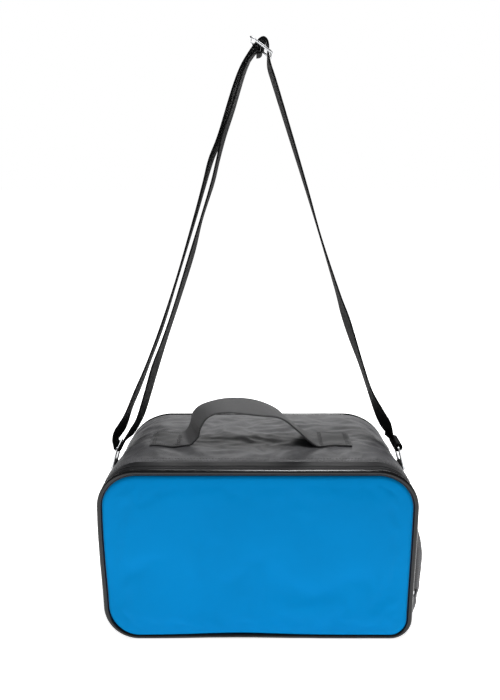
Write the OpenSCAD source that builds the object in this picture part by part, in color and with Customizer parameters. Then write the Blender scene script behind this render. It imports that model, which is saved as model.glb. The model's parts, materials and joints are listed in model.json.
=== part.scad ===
// Insulated cooler bag: a soft box with a zipped front door, a carry handle on top and a
// shoulder strap on two wire rings. Millimetres, +Z up, the front of the bag faces -Y.

/* [Bag] */
// Width of the bag across the front
bag_w = 320; // [300:1:340]
// Height of the bag
bag_h = 190; // [185:1:200]
// Depth of the bag, front piping to back piping
bag_d = 165; // [155:1:175]
// Radius of the corners of the front and back
corner_r = 38; // [34:1:42]
// Radius of the piping cord
piping_r = 2.5; // [2:0.1:3]

/* [Walls] */
// Thickness of the outer fabric
shell_t = 1.2; // [0.8:0.1:1.5]
// Thickness of the closed-cell foam
foam_t = 4.4; // [3:0.1:5]
// Thickness of the wipe-clean lining
lining_t = 0.6; // [0.4:0.1:1]

/* [Front door] */
// Height of the line where the front folds open
hinge_z = 52; // [48:1:56]
// Distance from the piping's middle back to the zip's middle line
zip_back = 8; // [7.5:0.1:9]
// Distance from the piping's middle back to the hem behind the zip
hem_back = 20; // [16:1:24]
// Height where the zip's fixed lower ends start
zip_end_z = 34; // [30:1:36]

/* [Handle] */
// Width of the handle webbing
handle_w = 38; // [30:1:40]
// Thickness of the handle webbing
handle_t = 2; // [1.5:0.1:2.5]
// Place of the handle's middle line along Y
handle_y = -10; // [-15:1:-5]

/* [Shoulder strap] */
// Width of the strap webbing
strap_w = 25; // [20:1:27]
// Thickness of the strap webbing
strap_t = 1.6; // [1.2:0.1:1.8]
// Place of the strap and rings along Y
strap_y = 10; // [5:1:15]
// Height of the line where the strap bends forwards and backwards
strap_pivot_z = 225; // [222:1:228]
// Radius of the ring and buckle wire
wire_r = 1.3; // [1.1:0.1:1.4]

/* [Hidden] */
$fn = 48;

big = 1000;
split = 0.15;                              // half of the gap along the fold line
fit = 0.05;                                // radial clearance of a pin in its hole
front_y = -bag_d / 2;
piping_y = bag_d / 2 - piping_r;           // the piping's middle line, front and back
zip_y = -piping_y + zip_back;
hem_y = -piping_y + hem_back;
panel_inset = 2 * piping_r + 0.1;          // edge of the front and back fabric, inside the piping
panel_y = piping_y + 1;                    // inner face of the front and back fabric
foam_y = panel_y - foam_t;                 // inner face of the front and back foam
lining_y = foam_y - lining_t;
foam_inset = shell_t + foam_t;
wall_inset = foam_inset + lining_t;
side_x = bag_w / 2 - corner_r;             // where the straight top ends

// Zip
coil_gap = 1.4;                            // room between the two coils for the slider's post
coil_w = 1.2;
coil_in = 0.4;                             // coil depth below the bag's outline, outer face
coil_out = 2.4;                            // and inner face
tape_in = 0.6;
tape_out = 1.2;
slider_z = 38;
slider_l = 12;
slider_w = 7;
pin_r = 0.6;
pull_x = bag_w / 2 + 2.6;
pull_z = slider_z + slider_l - 3;
pull_l = 30;

// Handle: middle line of the webbing in X and Z, and the line that it swings about
handle_path = [
    [-74, 192.6], [-70, 206], [-63, 219], [-50, 228], [-32, 231], [-10, 230.5],
    [8, 227], [24, 220], [36, 210], [48, 199], [62, 193]
];
handle_pivot_z = bag_h + 4;
handle_swing = 38;                         // slope of the legs' lower edges
handle_end_l = 42;

// Rings: middles of the lower and upper bars, on the right-hand side
ring_low = [bag_w / 2 + 2.8, 154];
ring_top = [bag_w / 2 - 4.6, 180.3];
ring_w = 32;
ring_corner = 3;
ring_lean = atan2(ring_low[0] - ring_top[0], ring_top[1] - ring_low[1]);
ring_h = norm(ring_top - ring_low);
tab_t = 0.8;
tab_low_z = 122;
loop_r = 4.4;                              // middle of the webbing round the upper bar

// Strap: middle lines of the webbing in X and Z, at strap_y
right_path = [[6.6, 582], [14, 560], [33, 505], [65, 409], [97, 318], [120, 254], [131, 225], [140, 205]];
left_path = [[-6.8, 583], [-27, 527.5], [-47.2, 472], [-80, 385], [-108, 300], [-129, 252], [-142, 220]];
return_path = [[-0.6, 579], [-8, 562], [-27, 507], [-38, 472], [-64, 398], [-98, 300], [-116, 253], [-127, 217]];
fold_path = [[-6.6, 584], [-3.2, 593], [-1, 596], [2.6, 597], [5.6, 594], [6.4, 589], [6.5, 583]];
left_end_path = concat(
    [[-136, 234], [-144, 215], [-154.5, 202], [-159.5, 190]],
    [for (a = [180:30:360]) [loop_r * cos(a) - ring_top[0], loop_r * sin(a) + ring_top[1]]],
    [[-145.5, 188], [-135.5, 201], [-127.5, 220], [-122, 234]]
);
right_end_path = [[126, 240], [131, 225], [139, 208], [146, 195], [152.6, 184.3]];

// Buckle: middle of the wire frame and its tilt
buckle_at = [2, 590];
buckle_tilt = 35;
buckle_h = 24.6;
buckle_w = 30;

function reversed(list) = [for (i = [len(list) - 1:-1:0]) list[i]];

// Catmull-Rom curve through the points of a path
function curve(a, b, c, d, t) =
    0.5 * (2 * b + (c - a) * t + (2 * a - 5 * b + 4 * c - d) * t * t
    + (3 * b - a - 3 * c + d) * t * t * t);
function smooth_path(p, steps) = concat(
    [for (i = [0:len(p) - 2]) for (j = [0:steps - 1])
        curve(p[max(i - 1, 0)], p[i], p[i + 1], p[min(i + 2, len(p) - 1)], j / steps)],
    [p[len(p) - 1]]
);
function beside(p, d) = [for (i = [0:len(p) - 1])
    let (a = p[max(i - 1, 0)], b = p[min(i + 1, len(p) - 1)], t = (b - a) / norm(b - a))
    p[i] + d * [-t[1], t[0]]];

// Extrusions of an XZ outline along Y, and of a YZ outline along X
module along_y(y0, y1) {
    translate([0, y1, 0]) rotate([90, 0, 0]) linear_extrude(y1 - y0) children();
}
module along_x(x0, x1) {
    translate([x0, 0, 0]) rotate([90, 0, 90]) linear_extrude(x1 - x0) children();
}
module box(low, high) {
    translate(low) cube(high - low);
}

// Rounded rectangle of the front, drawn smaller by inset
module outline(inset) {
    x = bag_w / 2 - inset;
    z = bag_h - inset;
    r = corner_r - inset;
    translate([-x, inset + r]) square([2 * x, z - inset - 2 * r]);
    translate([r - x, inset]) square([2 * (x - r), z - inset]);
    for (cx = [r - x, x - r]) for (cz = [inset + r, z - r])
        translate([cx, cz]) circle(r, $fn = 96);
}
module plate(inset, y0, y1) {
    along_y(y0, y1) outline(inset);
}
// A wall that follows the outline, from one inset to another
module band(outer, inner, y0, y1) {
    along_y(y0, y1) difference() {
        outline(outer);
        outline(inner);
    }
}

// Parts of space that cut the bands and plates to length
module above(z) box([-big, -big, z], [big, big, big]);
module below(z) box([-big, -big, -big], [big, big, z]);
module mouth() box([-big, -big, zip_end_z], [big, hem_y, big]);
module middle_top() box([-side_x, -big, bag_h / 2], [side_x, big, big]);
module middle_bottom() box([-side_x, -big, -big], [side_x, big, bag_h / 2]);
module one_side(s) {
    box([s > 0 ? side_x : -big, -big, -big], [s > 0 ? big : -side_x, big, big]);
}

// Outer fabric
module gusset_band() {
    difference() {
        band(0, shell_t, -piping_y + piping_r, piping_y - piping_r);
        mouth();
    }
}
module gusset_top() color("#3a3a3c") intersection() { gusset_band(); middle_top(); }
module gusset_bottom() color("#2e2e30") intersection() { gusset_band(); middle_bottom(); }
module gusset_left() color("#363638") intersection() { gusset_band(); one_side(-1); }
module gusset_right() color("#363638") intersection() { gusset_band(); one_side(1); }
module back_panel() color("#2c2c2e") plate(panel_inset, panel_y, panel_y + 1);
module whole_front() plate(panel_inset, -panel_y - 1, -panel_y);
module front_panel() color("#0083cf") intersection() { whole_front(); above(hinge_z + split); }
module front_panel_lower() color("#0083cf") intersection() { whole_front(); below(hinge_z - split); }

// Piping: a cord round the edge of the front or back, with quarter rings at the corners
module piping_ring(y) {
    x = bag_w / 2 - corner_r;
    run = bag_h - 2 * corner_r;
    for (cx = [-1, 1]) {
        translate([cx * (bag_w / 2 - piping_r), y, corner_r]) cylinder(h = run, r = piping_r);
        for (cz = [corner_r, bag_h - corner_r])
            translate([cx * x, y, cz])
                rotate([90, cz < bag_h / 2 ? (cx < 0 ? 180 : 90) : (cx < 0 ? -90 : 0), 0])
                    rotate_extrude(angle = 90)
                        translate([corner_r - piping_r, 0]) circle(piping_r);
    }
    for (z = [piping_r, bag_h - piping_r])
        translate([-x, y, z]) rotate([0, 90, 0]) cylinder(h = 2 * x, r = piping_r);
}
module piping_back() color("#1b1b1c") piping_ring(piping_y);
module piping_front() color("#1b1b1c") intersection() { piping_ring(-piping_y); above(hinge_z + split); }
module piping_front_lower() color("#1b1b1c") intersection() {
    piping_ring(-piping_y);
    below(hinge_z - split);
}

// Foam between the fabric and the lining
module foam_band() {
    difference() {
        band(shell_t, foam_inset, -foam_y, foam_y);
        mouth();
    }
}
module foam_top() color("white") intersection() { foam_band(); middle_top(); }
module foam_bottom() color("white") intersection() { foam_band(); middle_bottom(); }
module foam_left() color("white") intersection() { foam_band(); one_side(-1); }
module foam_right() color("white") intersection() { foam_band(); one_side(1); }
module foam_back() color("white") plate(panel_inset, foam_y, panel_y);
module whole_foam() plate(panel_inset, -panel_y, -foam_y);
module foam_door() color("white") intersection() { whole_foam(); above(hinge_z + split); }
module foam_front_lower() color("white") intersection() { whole_foam(); below(hinge_z - split); }

// Lining and the binding tape that covers its seams
module lining_body() color("#c9ced3") difference() {
    band(foam_inset, wall_inset, -lining_y, lining_y);
    mouth();
}
module lining_back() color("#c9ced3") plate(foam_inset + 0.1, lining_y, foam_y);
module whole_lining() plate(wall_inset, -foam_y, -lining_y);
module lining_door() color("#c9ced3") intersection() { whole_lining(); above(hinge_z + split); }
module lining_front_lower() color("#c9ced3") intersection() { whole_lining(); below(hinge_z - split); }
module binding_back() color("#8c9196") band(wall_inset, wall_inset + 0.8, lining_y - 7, lining_y);
module binding_door() color("#8c9196") intersection() {
    band(wall_inset - 0.9, wall_inset + 5, -lining_y, -lining_y + 0.5);
    above(hinge_z + split);
}

// Zip: tapes and coils on both sides of the middle line, and the stops at its two ends
module door_tape() band(tape_in, tape_out, -piping_y + piping_r, zip_y - coil_gap / 2 - coil_w);
module door_coil() band(coil_in, coil_out, zip_y - coil_gap / 2 - coil_w, zip_y - coil_gap / 2);
module zip_tape_door() color("#28282a") intersection() { door_tape(); above(hinge_z + split); }
module zip_coil_door() color("#111112") intersection() { door_coil(); above(hinge_z + split); }
module zip_ends() box([-big, -big, zip_end_z], [big, big, hinge_z - split]);
module zip_tape_ends() color("#28282a") intersection() { door_tape(); zip_ends(); }
module zip_coil_ends() color("#111112") intersection() { door_coil(); zip_ends(); }
module zip_tape_body() color("#28282a") intersection() {
    band(tape_in, tape_out, zip_y + coil_gap / 2 + coil_w, hem_y);
    above(zip_end_z);
}
module zip_coil_body() color("#111112") intersection() {
    band(coil_in, coil_out, zip_y + coil_gap / 2, zip_y + coil_gap / 2 + coil_w);
    above(zip_end_z);
}
module zip_stops() color("#1a1a1a") {
    half = coil_gap / 2 + coil_w;
    for (s = [-1, 1]) scale([s, 1, 1]) translate([bag_w / 2 - coil_in, zip_y, zip_end_z])
        box([0, -half, 0], [0.8, half, 3]);
}

// Slider: two plates joined by a post between the coils, with a bridge for the pull
module zip_slider() color("#9a9ca0") {
    x = bag_w / 2;
    translate([0, zip_y, slider_z]) {
        box([x - 0.1, -slider_w / 2, 0], [x + 1, slider_w / 2, slider_l]);
        box([x - 4.1, -slider_w / 2, 0], [x - 2.7, slider_w / 2, slider_l]);
        box([x - 3, -0.4, slider_l - 5], [x, 0.4, slider_l]);
        difference() {
            for (y = [-2.6, 1.8]) box([x + 0.9, y, slider_l - 5], [x + 3.8, y + 0.8, slider_l - 1]);
            translate([pull_x, -big / 2, pull_z - slider_z]) rotate([-90, 0, 0])
                cylinder(h = big, r = pin_r - 0.1);
        }
        translate([pull_x, -2.6, pull_z - slider_z]) rotate([-90, 0, 0]) cylinder(h = 5.2, r = pin_r);
    }
}
// Pull: a flat tab with an eye that turns on the slider's pin
module zip_pull() color("#9a9ca0") translate([pull_x, zip_y, pull_z]) difference() {
    union() {
        rotate([-90, 0, 0]) translate([0, 0, -1.6]) cylinder(h = 3.2, r = 1.2);
        box([-0.6, -1.6, -6], [0.6, 1.6, 0]);
        box([-0.6, -3, -pull_l + 3], [0.6, 3, -5]);
        translate([0.6, 0, -pull_l + 3]) rotate([0, -90, 0]) cylinder(h = 1.2, r = 3);
    }
    rotate([-90, 0, 0]) translate([0, 0, -big / 2]) cylinder(h = big, r = pin_r + fit);
    translate([-big / 2, 0, -pull_l + 3]) rotate([0, 90, 0]) cylinder(h = big, r = 1.4);
}

// Webbing: a flat strip that follows a path in X and Z, centred on y
module webbing(path, width, thick, y, steps = 5) {
    p = smooth_path(path, steps);
    along_y(y - width / 2, y + width / 2)
        polygon(concat(beside(p, thick / 2), reversed(beside(p, -thick / 2))));
}

// Carry handle: sewn-down ends, and a loop whose legs narrow to the line they swing about
module handle_end(x) {
    box([x, handle_y - handle_w / 2, bag_h], [x + handle_end_l, handle_y + handle_w / 2, bag_h + handle_t]);
}
module handle_end_left() color("#2b2b2d") handle_end(-118);
module handle_end_right() color("#2b2b2d") handle_end(62);
module handle_loop() color("#2b2b2d") intersection() {
    webbing(handle_path, handle_w, handle_t, handle_y);
    along_x(-100, 100) translate([handle_y, handle_pivot_z]) polygon([
        [0, -1.5], [handle_w, handle_w * tan(handle_swing) - 1.5], [handle_w, 60],
        [-handle_w, 60], [-handle_w, handle_w * tan(handle_swing) - 1.5]
    ]);
}

// Wire ring: two bars along Y and two rails, with rounded corners
module ring() {
    half = ring_w / 2 - wire_r;
    c = ring_corner;
    for (z = [0, ring_h]) translate([0, -half + c, z]) rotate([-90, 0, 0])
        cylinder(h = 2 * (half - c), r = wire_r);
    for (s = [-1, 1]) {
        translate([0, s * half, c]) cylinder(h = ring_h - 2 * c, r = wire_r);
        for (z = [c, ring_h - c]) translate([0, s * (half - c), z])
            rotate([0, 0, 90]) rotate([90, z == c ? (s > 0 ? 90 : 180) : (s > 0 ? 0 : -90), 0])
                rotate_extrude(angle = 90) translate([c, 0]) circle(wire_r);
    }
}
module ring_right() color("silver") translate([ring_low[0], strap_y, ring_low[1]])
    rotate([0, -ring_lean, 0]) ring();
module ring_left() color("silver") mirror([1, 0, 0]) ring_right();

// Ring tab: webbing folded round the lower bar and sewn to the side
module ring_tab_right() color("#1d1d1f") {
    x = bag_w / 2;
    hole = wire_r + fit;
    y0 = strap_y - strap_w / 2 + 1;
    y1 = strap_y + strap_w / 2 - 1;
    box([x, y0, tab_low_z], [x + 2 * tab_t, y1, ring_low[1] - hole - 1]);
    difference() {
        union() {
            translate([ring_low[0], y0, ring_low[1]]) rotate([-90, 0, 0])
                cylinder(h = y1 - y0, r = hole + tab_t);
            box([x, y0, ring_low[1] - hole - 2], [ring_low[0] + hole + tab_t, y1, ring_low[1]]);
        }
        translate([ring_low[0], -big / 2, ring_low[1]]) rotate([-90, 0, 0])
            cylinder(h = big, r = hole);
    }
}
module ring_tab_left() color("#1d1d1f") mirror([1, 0, 0]) ring_tab_right();

// Shoulder strap. Above the bend line a strand ends in a half round about that line.
module swinging_part() {
    along_x(-200, 200) {
        translate([strap_y - 60, strap_pivot_z]) square([120, 500]);
        translate([strap_y, strap_pivot_z]) circle(strap_w / 2);
    }
}
module fixed_part() {
    top = strap_pivot_z - strap_w - 0.7;
    along_x(-200, 200) {
        translate([strap_y - 60, 0]) square([120, top]);
        translate([strap_y, top]) circle(strap_w / 2);
    }
}
module strap_right() color("#161617") intersection() {
    webbing(right_path, strap_w, strap_t, strap_y);
    swinging_part();
}
module strap_left() color("#161617") intersection() {
    webbing(left_path, strap_w, strap_t, strap_y);
    swinging_part();
}
module strap_return() color("#1e1e20") intersection() {
    webbing(return_path, strap_w, strap_t, strap_y);
    swinging_part();
}
module strap_fold() color("#161617") webbing(fold_path, strap_w, strap_t, strap_y);
module strap_end_left() color("#161617") intersection() {
    webbing(left_end_path, strap_w, strap_t, strap_y);
    fixed_part();
}
module strap_end_right() color("#161617") {
    intersection() {
        webbing(right_end_path, strap_w, 2 * strap_t, strap_y);
        fixed_part();
    }
    translate([ring_top[0], strap_y, ring_top[1]]) rotate([90, 0, 0]) difference() {
        cylinder(h = strap_w, r = loop_r + strap_t / 2, center = true);
        cylinder(h = 2 * strap_w, r = loop_r - strap_t / 2, center = true);
    }
}

// Three-bar buckle of bent wire, tilted at the top of the strap
module strap_buckle() color("silver")
    translate([buckle_at[0], strap_y, buckle_at[1]]) rotate([0, 90 + buckle_tilt, 0]) {
        for (z = [-buckle_h / 2, 0, buckle_h / 2]) translate([0, -buckle_w / 2, z])
            rotate([-90, 0, 0]) cylinder(h = buckle_w, r = wire_r - 0.1);
        for (s = [-1, 1]) {
            translate([0, s * buckle_w / 2, -buckle_h / 2]) cylinder(h = buckle_h, r = wire_r - 0.1);
            for (z = [-buckle_h / 2, buckle_h / 2]) translate([0, s * buckle_w / 2, z])
                sphere(wire_r - 0.1);
        }
    }

front_panel_lower();
back_panel();
gusset_top();
gusset_left();
gusset_right();
gusset_bottom();
piping_front_lower();
piping_back();
foam_top();
foam_left();
foam_right();
foam_bottom();
foam_back();
foam_front_lower();
lining_body();
lining_back();
lining_front_lower();
binding_back();
zip_tape_body();
zip_tape_ends();
zip_coil_body();
zip_coil_ends();
zip_stops();
handle_end_left();
handle_end_right();
ring_tab_left();
ring_tab_right();
strap_end_left();
strap_end_right();
front_panel();
piping_front();
foam_door();
lining_door();
binding_door();
zip_tape_door();
zip_coil_door();
zip_slider();
zip_pull();
handle_loop();
ring_left();
ring_right();
strap_right();
strap_left();
strap_return();
strap_fold();
strap_buckle();
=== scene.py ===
"""Builds the fabric, webbing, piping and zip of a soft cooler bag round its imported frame."""
import json
import math

import bmesh
import bpy
from mathutils import Matrix, Vector, noise
from mathutils.bvhtree import BVHTree


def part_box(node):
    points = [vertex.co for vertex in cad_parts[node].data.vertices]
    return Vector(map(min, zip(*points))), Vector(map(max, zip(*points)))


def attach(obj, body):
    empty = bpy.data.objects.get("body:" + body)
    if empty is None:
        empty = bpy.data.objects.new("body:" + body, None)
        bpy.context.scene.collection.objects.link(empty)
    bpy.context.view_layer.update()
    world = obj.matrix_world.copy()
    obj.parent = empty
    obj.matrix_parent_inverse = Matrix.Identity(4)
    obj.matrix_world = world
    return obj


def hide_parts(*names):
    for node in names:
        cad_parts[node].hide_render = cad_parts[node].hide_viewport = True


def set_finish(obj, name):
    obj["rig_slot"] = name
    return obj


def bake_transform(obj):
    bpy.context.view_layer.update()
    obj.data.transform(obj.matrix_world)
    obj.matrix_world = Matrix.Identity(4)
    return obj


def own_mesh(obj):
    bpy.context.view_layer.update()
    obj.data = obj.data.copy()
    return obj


bl_info = {
    "name": "Insulated cooler bag",
    "version": (1, 0, 0),
    "blender": (4, 5, 0),
    "location": "3D View > Sidebar > Cooler Bag",
    "description": "Sews the fabric, webbing, piping and zip of a cooler bag round its frame",
    "category": "Add Mesh",
}

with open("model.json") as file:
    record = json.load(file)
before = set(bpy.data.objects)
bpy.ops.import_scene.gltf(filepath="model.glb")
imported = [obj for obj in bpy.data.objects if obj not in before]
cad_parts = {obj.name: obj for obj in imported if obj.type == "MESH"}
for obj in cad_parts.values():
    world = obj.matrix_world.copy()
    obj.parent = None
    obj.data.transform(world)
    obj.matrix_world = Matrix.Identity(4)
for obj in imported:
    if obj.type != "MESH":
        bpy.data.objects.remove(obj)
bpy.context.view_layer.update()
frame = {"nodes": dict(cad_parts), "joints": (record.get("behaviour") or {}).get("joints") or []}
MM = 0.001

# Main sizes, read from the frame
TOP_LOW, TOP_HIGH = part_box("gusset_top")
CORD_LOW, CORD_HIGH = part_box("piping_back")
HALF_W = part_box("gusset_right")[1].x
HEIGHT = TOP_HIGH.z
SEAM_Y = TOP_HIGH.y
HEM_Y = TOP_LOW.y
PIPING_Y = (CORD_LOW.y + CORD_HIGH.y) / 2
PANEL_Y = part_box("back_panel")[1].y
FOAM_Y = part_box("foam_back")[0].y
FOAM_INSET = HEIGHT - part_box("foam_top")[0].z
LINING_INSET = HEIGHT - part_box("lining_body")[1].z + 0.6 * MM
ZIP_END_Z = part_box("zip_tape_body")[0].z
ZIP_Y = (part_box("zip_coil_body")[0].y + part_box("zip_coil_door")[1].y) / 2
FOLD = next(joint for joint in frame["joints"] if joint["name"] == "door_fold")["pos_m"]
RING_LOW, RING_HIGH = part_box("ring_right")
STRAP_Y = (RING_LOW.y + RING_HIGH.y) / 2
BUCKLE_LOW, BUCKLE_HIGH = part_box("strap_buckle")

# Corner radii of the sewn outline: right low, right top, left top, left low
RADII = (0.022, 0.043, 0.040, 0.036)
# Radius of the slack fabric's corners at the rear
REAR_CORNER = 0.056
# How far in the front panel, the back panel and the front lining are drawn from the sewn outline
FRONT_INSET = 5.6 * MM
BACK_INSET = 4.6 * MM
DOOR_FILM_INSET = 5.4 * MM


def linear(code):
    """The linear colour, with alpha, of an sRGB hex value such as #808080."""
    parts = [int(code[i:i + 2], 16) / 255 for i in (1, 3, 5)]
    return [p / 12.92 if p <= 0.04045 else ((p + 0.055) / 1.055) ** 2.4 for p in parts] + [1.0]


def length_property(name, description, default):
    return bpy.props.FloatProperty(
        name=name, description=description, default=default, min=0.0, unit="LENGTH", subtype="DISTANCE"
    )


def colour_property(name, description, code):
    return bpy.props.FloatVectorProperty(
        name=name, description=description, default=linear(code), size=4, min=0.0, max=1.0, subtype="COLOR"
    )


class CoolerBagSizes(bpy.types.PropertyGroup):
    """Sizes of the sewn pieces."""

    piping: length_property("Piping radius", "Radius of the piping cord", (CORD_HIGH.y - CORD_LOW.y) / 2)
    fabric: length_property("Fabric", "Thickness of the outer fabric", 1.0 * MM)
    dome: length_property("Front dome", "How far the middle of the front stands proud of its edge", 3.0 * MM)
    bulge_right: length_property("Right bulge", "How far the right side bulges", 15.0 * MM)
    bulge_left: length_property("Left bulge", "How far the left side bulges", 6.0 * MM)
    handle: length_property("Handle thickness", "Thickness of the handle webbing", 2.0 * MM)
    strap_width: length_property(
        "Strap width", "Width of the shoulder strap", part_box("strap_fold")[1].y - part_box("strap_fold")[0].y
    )
    strap: length_property("Strap thickness", "Thickness of the shoulder strap webbing", 1.6 * MM)
    wire: length_property("Wire radius", "Radius of the ring and buckle wire", 1.3 * MM)
    tooth: length_property(
        "Zip tooth pitch", "Distance from one turn of the zip's coil to the next", 1.8 * MM
    )
    stitch: length_property("Stitch length", "Distance from one stitch to the next", 3.2 * MM)


class CoolerBagColours(bpy.types.PropertyGroup):
    """Colours of the sewn pieces."""

    front: colour_property("Front", "Colour of the front panel", "#0081C2")
    shell: colour_property("Shell", "Colour of the woven sides, top and back", "#3D3D3F")
    piping: colour_property("Piping", "Colour of the piping", "#050506")
    zip_tape: colour_property("Zip tape", "Colour of the zip's tape", "#0C0C0E")
    handle: colour_property("Handle", "Colour of the handle webbing", "#363637")
    strap: colour_property("Strap", "Colour of the shoulder strap and its tabs", "#09090A")
    lining: colour_property("Lining", "Colour of the wipe-clean lining", "#C6CBD0")
    foam: colour_property("Foam", "Colour of the foam", "#ECEDE9")
    metal: colour_property("Metal", "Colour of the wire fittings", "#C9CACC")


# ---------------------------------------------------------------- materials

def add_node(tree, kind, inputs=None, **settings):
    """Adds a shader node. An input that is a socket is linked, and any other is its value."""
    node = tree.nodes.new("ShaderNode" + kind)
    for name, value in settings.items():
        setattr(node, name, value)
    for key, value in (inputs or {}).items():
        if isinstance(value, bpy.types.NodeSocket):
            tree.links.new(value, node.inputs[key])
        else:
            node.inputs[key].default_value = value
    return node


def new_material(name, **sockets):
    """A material with one Principled shader, whose uniform values are set on its own sockets."""
    material = bpy.data.materials.new(name)
    material.use_nodes = True
    tree = material.node_tree
    tree.nodes.clear()
    shader = add_node(tree, "BsdfPrincipled")
    for socket, value in sockets.items():
        shader.inputs[socket.replace("_", " ")].default_value = value
    output = add_node(tree, "OutputMaterial")
    tree.links.new(shader.outputs["BSDF"], output.inputs["Surface"])
    return material, tree, shader


def shade(colour, factor):
    """The colour made lighter or darker."""
    return [min(1.0, c * factor) for c in colour[:3]] + [1.0]


def two_tone(tree, factor, dark, light):
    """Mixes two colours by a factor."""
    mix = add_node(tree, "Mix", {0: factor, 6: dark, 7: light}, data_type="RGBA")
    return mix.outputs[2]


def speckle(tree, vector, scale, detail, distortion=0.0):
    """Noise over the vector."""
    noise_node = add_node(
        tree, "TexNoise", {"Vector": vector, "Scale": scale, "Detail": detail, "Distortion": distortion}
    )
    return noise_node.outputs["Fac"]


def set_gloss(tree, shader, value, rough_low, rough_high):
    """Takes the roughness from rough_low to rough_high as the value goes from 0 to 1."""
    gloss = add_node(tree, "MapRange", {"Value": value, "To Min": rough_low, "To Max": rough_high})
    tree.links.new(gloss.outputs[0], shader.inputs["Roughness"])


def set_relief(tree, shader, *layers):
    """Lays reliefs over one another, each given as its height, strength and distance."""
    inputs = {}
    for height, strength, distance in layers:
        inputs.update({"Height": height, "Strength": strength, "Distance": distance})
        inputs["Normal"] = add_node(tree, "Bump", inputs).outputs[0]
    tree.links.new(inputs["Normal"], shader.inputs["Normal"])


def basket_weave(tree, vector, across, along):
    """Height of a plain weave whose threads repeat every across and along metres of the vector."""
    wave_scale = math.tau / 20
    warp = add_node(
        tree, "TexWave", {"Vector": vector, "Scale": wave_scale / across, "Distortion": 0.0},
        bands_direction="X", wave_profile="SIN",
    )
    weft = add_node(
        tree, "TexWave", {"Vector": vector, "Scale": wave_scale / along, "Distortion": 0.0},
        bands_direction="Y", wave_profile="SIN",
    )
    both = add_node(tree, "Math", {0: warp.outputs["Fac"], 1: weft.outputs["Fac"]}, operation="MULTIPLY")
    warp_low = add_node(tree, "Math", {0: 1.0, 1: warp.outputs["Fac"]}, operation="SUBTRACT")
    weft_low = add_node(tree, "Math", {0: 1.0, 1: weft.outputs["Fac"]}, operation="SUBTRACT")
    neither = add_node(tree, "Math", {0: warp_low.outputs[0], 1: weft_low.outputs[0]}, operation="MULTIPLY")
    return add_node(tree, "Math", {0: both.outputs[0], 1: neither.outputs[0]}, operation="ADD").outputs[0]


def satin_polyester(colour):
    """Dyed satin-weave polyester: smooth, with a soft sheen, a very fine thread and faint cloudy shading."""
    material, tree, shader = new_material("satin_polyester", Roughness=0.5, Specular_IOR_Level=0.02)
    place = add_node(tree, "TexCoord")
    cloud = speckle(tree, place.outputs["Object"], 9.0, 3.0)
    tone = two_tone(tree, cloud, shade(colour, 0.86), shade(colour, 1.12))
    # threads of 0.5 mm, drawn at 1 mm so that they show
    weave = basket_weave(tree, place.outputs["UV"], 1.0 * MM, 1.0 * MM)
    # the weave's height lightens the threads and darkens between them: painted highlight and painted shade
    fine = add_node(tree, "MapRange", {"Value": weave, "To Min": 0.95, "To Max": 1.03})
    colour_out = add_node(
        tree, "Mix", {0: 1.0, 6: tone, 7: fine.outputs[0]}, data_type="RGBA", blend_type="MULTIPLY"
    )
    tree.links.new(colour_out.outputs[2], shader.inputs["Base Color"])
    ripple = speckle(tree, place.outputs["Object"], 22.0, 2.0)
    set_relief(tree, shader, (ripple, 0.10, 2.0 * MM), (weave, 0.18, 0.1 * MM))
    return material


def oxford_polyester(colour):
    """Coated oxford polyester: a coarse basket weave with painted highlights on its thread crowns and painted
    shade between threads, and random lighter and darker blotches that are partly dust and partly painted
    crease highlights and crease shade.
    """
    material, tree, shader = new_material(
        "oxford_polyester", Sheen_Weight=0.02, Sheen_Roughness=0.5, Specular_IOR_Level=0.35
    )
    place = add_node(tree, "TexCoord")
    # threads of 0.6 mm in pairs, drawn at 2.2 mm so that they show
    weave = basket_weave(tree, place.outputs["UV"], 2.2 * MM, 2.2 * MM)
    # random blotches, partly dust and partly painted crease highlights and painted crease shade
    dust_and_sheen = speckle(tree, place.outputs["Object"], 60.0, 5.0)
    # painted highlight on the thread crowns and painted shade in the gaps between threads, drawn from the
    # weave's height on cloth of one colour
    cloth = two_tone(tree, weave, shade(colour, 0.5), shade(colour, 1.5))
    dust_and_sheen_mask = add_node(tree, "MapRange", {"Value": dust_and_sheen, "From Min": 0.42, "From Max": 0.66})
    # the blotches run from dark (dust and painted crease shade) to light (painted crease highlight)
    dust_and_sheen_tone = add_node(
        tree, "Mix", {0: dust_and_sheen_mask.outputs[0], 6: shade(colour, 0.45), 7: shade(colour, 2.0)}, data_type="RGBA"
    )
    blend = add_node(tree, "Mix", {0: 0.3, 6: cloth, 7: dust_and_sheen_tone.outputs[2]}, data_type="RGBA")
    tree.links.new(blend.outputs[2], shader.inputs["Base Color"])
    set_gloss(tree, shader, weave, 0.62, 0.42)
    crumple = speckle(tree, place.outputs["Object"], 55.0, 3.0, 0.6)
    set_relief(tree, shader, (crumple, 0.6, 2.0 * MM), (weave, 0.5, 0.3 * MM))
    return material


def extruded_pvc(colour):
    """Extruded PVC piping: glossy, with slight scuffs that break up its highlight."""
    material, tree, shader = new_material("extruded_pvc", Specular_IOR_Level=0.35)
    place = add_node(tree, "TexCoord")
    scuff = speckle(tree, place.outputs["Object"], 160.0, 4.0)
    tone = two_tone(tree, scuff, shade(colour, 0.7), shade(colour, 1.7))
    tree.links.new(tone, shader.inputs["Base Color"])
    set_gloss(tree, shader, scuff, 0.12, 0.26)
    set_relief(tree, shader, (scuff, 0.08, 0.2 * MM))
    return material


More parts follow.
